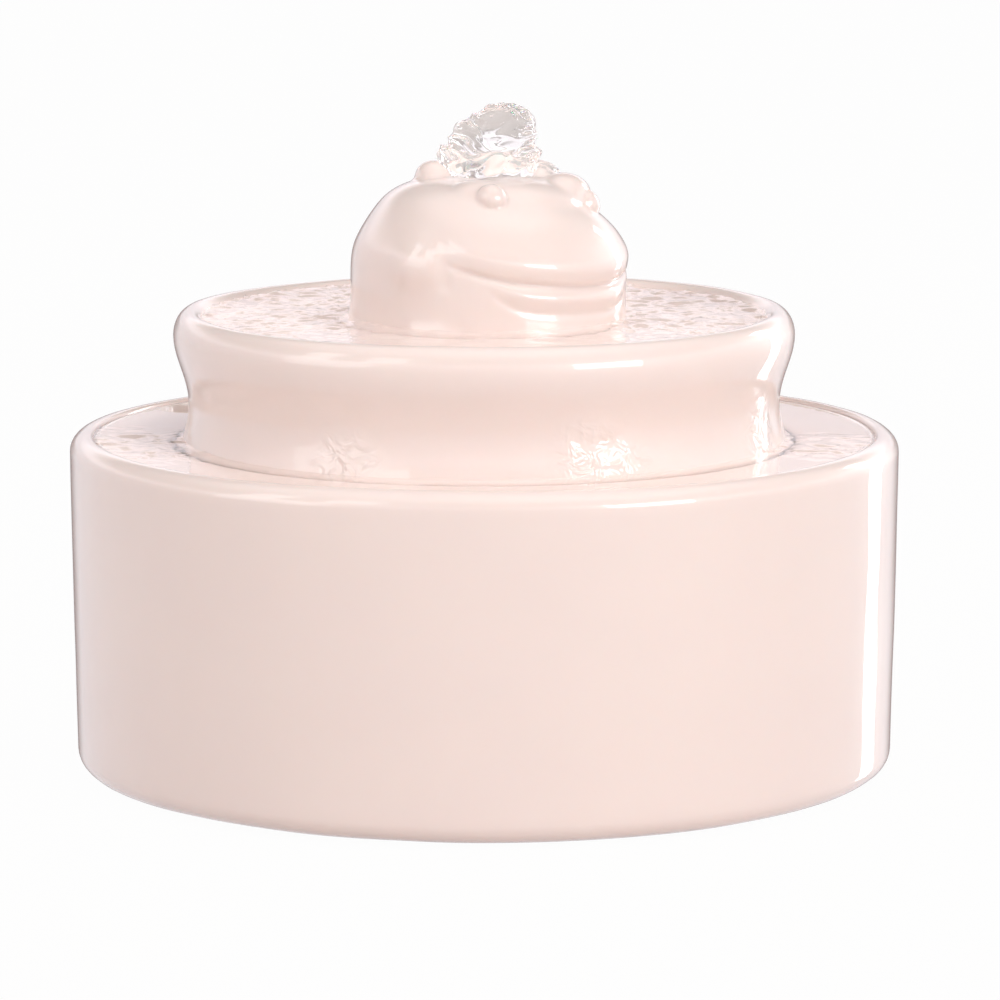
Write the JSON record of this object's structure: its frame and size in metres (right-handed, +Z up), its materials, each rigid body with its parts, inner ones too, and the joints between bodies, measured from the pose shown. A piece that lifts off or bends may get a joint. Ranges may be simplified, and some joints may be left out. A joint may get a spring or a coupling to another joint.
{
  "type": "pet water fountain",
  "caption": "Two-tier ceramic pet drinking fountain: a pump in the bowl sends water up through a frog, over a pedestal dish and into a ring-shaped lower dish.",
  "frame": {"origin": "on the standing surface, under the middle of the bowl", "axes": "+Z up, -Y the way the frog faces, +X to the right of someone who looks the frog in the face"},
  "size_m": [0.2208, 0.2208, 0.177],
  "materials": {
    "bowl_glaze": "gloss ivory glaze",
    "dish_glaze": "gloss ivory glaze",
    "tier_glaze": "gloss ivory glaze",
    "frog_glaze": "gloss ivory glaze",
    "water": "clear running water",
    "pad_rubber": "matt",
    "grommet_rubber": "translucent silicone",
    "silicone_tube": "translucent silicone",
    "pump_plastic": "fine satin grain",
    "cover_plastic": "satin",
    "cap_plastic": "fine satin grain",
    "slider_plastic": "satin blue",
    "impeller_plastic": "smooth natural",
    "washer_plastic": "smooth white",
    "bobbin_plastic": "natural nylon",
    "core_steel": "laminated, dull",
    "coil_copper": "enamelled copper wire",
    "resin": "cast resin, slightly wavy",
    "gland_rubber": "matt",
    "ferrite": "ground ferrite",
    "shaft_ceramic": "ground white ceramic",
    "bush_rubber": "matt",
    "sponge_foam": "open-cell foam",
    "cup_rubber": "soft, slightly glossy"
  },
  "bodies": {
    "reservoir": {"reservoir_bowl": "bowl_glaze", "foot_pads": "pad_rubber", "suction_cups": "cup_rubber", "pump_housing": "pump_plastic", "stator_core": "core_steel", "coil_bobbin": "bobbin_plastic", "stator_coil": "coil_copper", "potting": "resin", "cable_gland": "gland_rubber", "rotor_shaft": "shaft_ceramic", "front_bush": "bush_rubber", "rear_bush": "bush_rubber", "impeller_cover": "cover_plastic", "cover_gasket": "bush_rubber", "riser_tube": "silicone_tube"},
    "lower_dish": {"lower_dish": "dish_glaze", "lower_pool": "water"},
    "upper_tier": {"upper_tier": "tier_glaze", "tube_grommet": "grommet_rubber", "upper_pool": "water"},
    "frog": {"frog_spout": "frog_glaze", "spout_sleeve": "grommet_rubber", "water_plume": "water"},
    "rotor": {"rotor_magnet": "ferrite", "impeller": "impeller_plastic", "thrust_washers": "washer_plastic"},
    "intake": {"intake_cover": "cap_plastic", "intake_sponge": "sponge_foam"},
    "slider": {"flow_slider": "slider_plastic"}
  },
  "joints": [
    {"name": "lower_dish_lift", "type": "slide", "parent": "reservoir", "child": "lower_dish", "axis": [0, 0, 1], "range_m": [0, 0.1]},
    {"name": "upper_tier_lift", "type": "slide", "parent": "lower_dish", "child": "upper_tier", "axis": [0, 0, 1], "range_m": [0, 0.08]},
    {"name": "frog_lift", "type": "slide", "parent": "upper_tier", "child": "frog", "axis": [0, 0, 1], "range_m": [0, 0.06]},
    {"name": "rotor_spin", "type": "hinge", "parent": "reservoir", "child": "rotor", "pos_m": [0, 0.02, 0.031], "axis": [0, -1, 0], "continuous": true},
    {"name": "intake_cover_pull", "type": "slide", "parent": "reservoir", "child": "intake", "axis": [0, -1, 0], "range_m": [0, 0.02]},
    {"name": "flow_slider_travel", "type": "slide", "parent": "intake", "child": "slider", "axis": [1, 0, 0], "range_m": [0, 0.0185]}
  ]
}
